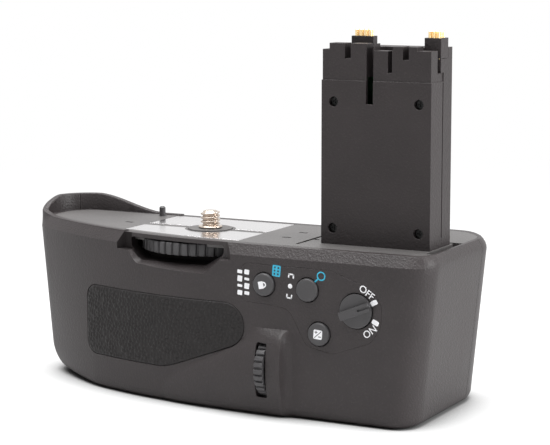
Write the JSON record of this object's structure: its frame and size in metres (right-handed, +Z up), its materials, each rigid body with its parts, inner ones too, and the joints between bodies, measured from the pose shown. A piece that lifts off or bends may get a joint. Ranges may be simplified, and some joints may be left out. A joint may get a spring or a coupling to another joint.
{
  "type": "camera battery grip",
  "caption": "Vertical grip that screws under an interchangeable-lens camera: battery-bay tower with spring contacts, pull-out battery tray, thumb dial, buttons and power knob.",
  "frame": {"origin": "axis of the tripod socket at the base plane, in line with the attachment screw", "axes": "+X towards the hand-grip end, +Y towards the camera's front, +Z up towards the camera"},
  "size_m": [0.1559, 0.0671, 0.1189],
  "materials": {
    "shell_plastic": "fine spark-eroded grain",
    "deck_plastic": "fine grain",
    "shoe_steel": "smooth plate",
    "grip_rubber": "leather grain",
    "bright_metal": "polished",
    "plain_steel": "plain",
    "gold_contact": "gold flash",
    "board_green": "solder mask",
    "control_plastic": "satin",
    "inner_plastic": "plain"
  },
  "bodies": {
    "grip_body": {"rear_housing": "shell_plastic", "front_cover": "shell_plastic", "deck_plate": "deck_plastic", "rear_shoe_plate": "shoe_steel", "front_shoe_plate": "shoe_steel", "locating_pin": "control_plastic", "tower_base": "shell_plastic", "tower_rear_shell": "shell_plastic", "tower_front_shell": "shell_plastic", "tower_screws": "plain_steel", "contact_block_left": "shell_plastic", "contact_block_right": "shell_plastic", "tower_circuit_board": "board_green", "screw_bush": "bright_metal", "tripod_socket": "plain_steel", "housing_screws": "plain_steel", "palm_pad": "grip_rubber", "front_grip": "grip_rubber", "button_switches": "inner_plastic", "control_board": "board_green", "power_switch": "inner_plastic", "dial_axle": "plain_steel", "dial_bracket": "plain_steel", "shutter_collar": "bright_metal", "shutter_switch": "inner_plastic", "dock_block": "inner_plastic", "dock_contacts": "gold_contact"},
    "attachment": {"attachment_wheel": "control_plastic", "attachment_screw": "bright_metal", "wheel_clip": "plain_steel"},
    "left_pins": {"contact_pins_left": "gold_contact"},
    "right_pins": {"contact_pins_right": "gold_contact"},
    "lock_button": {"lock_button": "control_plastic"},
    "focus_button": {"focus_button": "control_plastic"},
    "exposure_button": {"exposure_button": "control_plastic"},
    "power_knob": {"power_knob": "control_plastic"},
    "command_dial": {"command_dial": "control_plastic"},
    "shutter_button": {"shutter_button": "control_plastic"},
    "tray": {"battery_tray": "inner_plastic", "tray_cap": "shell_plastic", "tray_contacts": "gold_contact"},
    "lock_key": {"lock_key": "control_plastic"}
  },
  "joints": [
    {"name": "attachment_spin", "type": "hinge", "parent": "grip_body", "child": "attachment", "pos_m": [0, 0, 0.049], "axis": [0, 0, 1], "continuous": true},
    {"name": "dial_spin", "type": "hinge", "parent": "grip_body", "child": "command_dial", "pos_m": [0.0335, -0.0211, 0.0147], "axis": [1, 0, 0], "continuous": true},
    {"name": "power_turn", "type": "hinge", "parent": "grip_body", "child": "power_knob", "pos_m": [0.0643, -0.025, 0.0355], "axis": [0, 1, 0], "range_deg": [0, 50]},
    {"name": "lock_press", "type": "slide", "parent": "grip_body", "child": "lock_button", "axis": [0, 1, 0], "range_m": [0, 0.0008], "stiffness_N_per_m": 600, "springref_m": -0.0005},
    {"name": "focus_press", "type": "slide", "parent": "grip_body", "child": "focus_button", "axis": [0, 1, 0], "range_m": [0, 0.0008], "stiffness_N_per_m": 600, "springref_m": -0.0005},
    {"name": "exposure_press", "type": "slide", "parent": "grip_body", "child": "exposure_button", "axis": [0, 1, 0], "range_m": [0, 0.0008], "stiffness_N_per_m": 600, "springref_m": -0.0005},
    {"name": "shutter_press", "type": "slide", "parent": "grip_body", "child": "shutter_button", "axis": [-0.1736, -0.9848, 0], "range_m": [0, 0.001], "stiffness_N_per_m": 600, "springref_m": -0.0005},
    {"name": "left_pins_press", "type": "slide", "parent": "grip_body", "child": "left_pins", "axis": [0, 0, -1], "range_m": [0, 0.001], "stiffness_N_per_m": 800, "springref_m": -0.0005},
    {"name": "right_pins_press", "type": "slide", "parent": "grip_body", "child": "right_pins", "axis": [0, 0, -1], "range_m": [0, 0.001], "stiffness_N_per_m": 800, "springref_m": -0.0005},
    {"name": "tray_slide", "type": "slide", "parent": "grip_body", "child": "tray", "axis": [-1, 0, 0], "range_m": [0, 0.1]},
    {"name": "lock_turn", "type": "hinge", "parent": "tray", "child": "lock_key", "pos_m": [-0.0645, 0.009, 0.036], "axis": [-1, 0, 0], "range_deg": [0, 90]}
  ]
}
